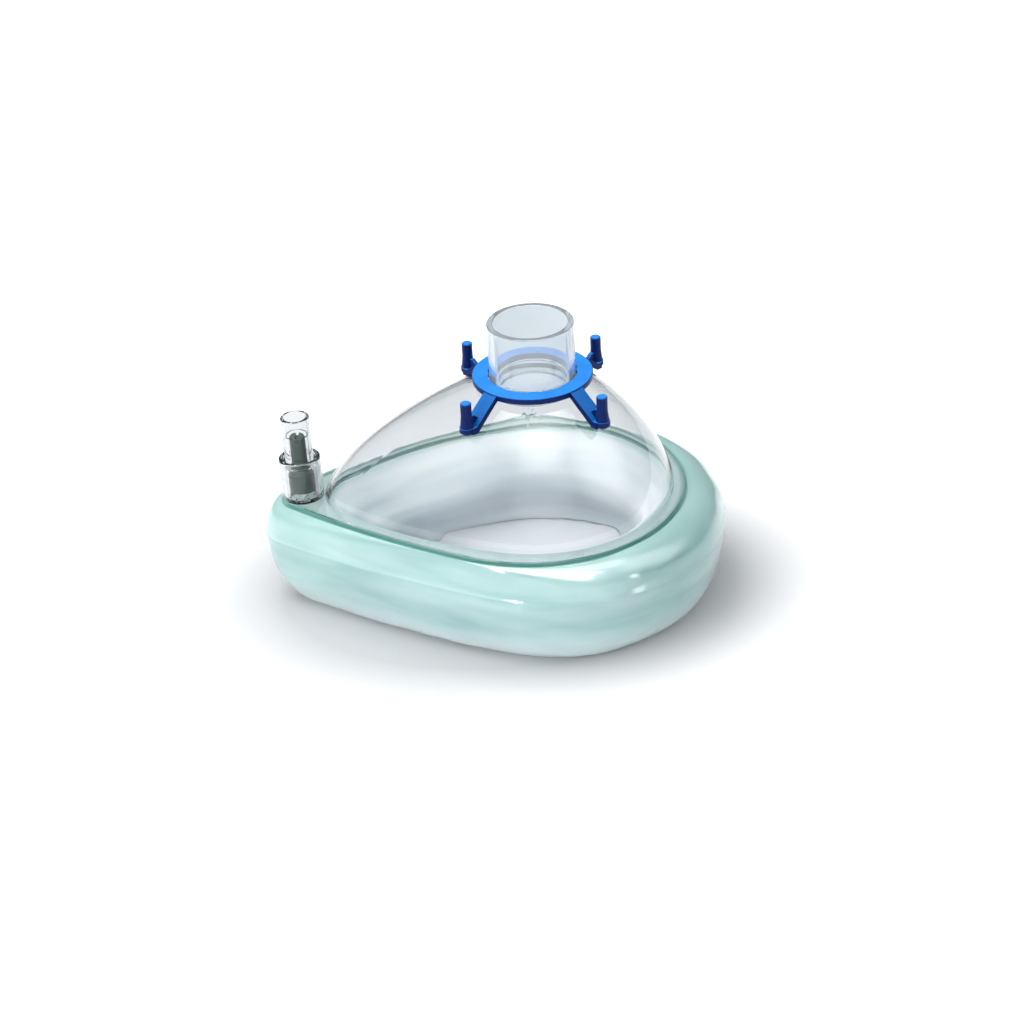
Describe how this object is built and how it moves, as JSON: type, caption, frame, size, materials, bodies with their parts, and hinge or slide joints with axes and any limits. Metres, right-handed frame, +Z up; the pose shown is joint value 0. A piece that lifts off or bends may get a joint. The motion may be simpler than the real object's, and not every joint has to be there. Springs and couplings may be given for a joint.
{
  "type": "resuscitator face mask",
  "caption": "Clear domed breathing mask on an inflatable teardrop cushion, with a 22 mm socket, a four-post strap ring and a one-way inflation valve.",
  "frame": {"origin": "middle of the bounding box on the rest face of the cushion", "axes": "+X towards the chin end, +Y across the mask, +Z up through the 22 mm socket"},
  "size_m": [0.1435, 0.1016, 0.091],
  "materials": {
    "clear_shell": "clear moulded plastic, glossy",
    "clear_tube": "clear moulded plastic, glossy",
    "blue_plastic": "azure moulded plastic, satin",
    "green_cushion": "pale mint translucent soft vinyl, glossy",
    "valve_clear": "clear moulded plastic, glossy",
    "stem_plastic": "dark grey-green plastic, satin",
    "seal_rubber": "dark grey-green elastomer",
    "spring_steel": "bright drawn wire"
  },
  "bodies": {
    "mask": {"dome_shell": "clear_shell", "connector_tube": "clear_tube", "air_cushion": "green_cushion", "valve_cup": "valve_clear", "valve_base": "valve_clear", "valve_housing": "valve_clear", "valve_spring": "spring_steel"},
    "strap_ring": {"hook_ring": "blue_plastic"},
    "check_valve": {"valve_stem": "stem_plastic", "valve_seal": "seal_rubber"}
  },
  "joints": [
    {"name": "hook_ring_lift", "type": "slide", "parent": "mask", "child": "strap_ring", "axis": [0, 0, 1], "range_m": [0, 0.018]},
    {"name": "valve_stem_press", "type": "slide", "parent": "mask", "child": "check_valve", "axis": [0, 0, -1], "range_m": [0, 0.0018], "stiffness_N_per_m": 280, "springref_m": -0.001, "deforming": ["valve_spring"]}
  ]
}
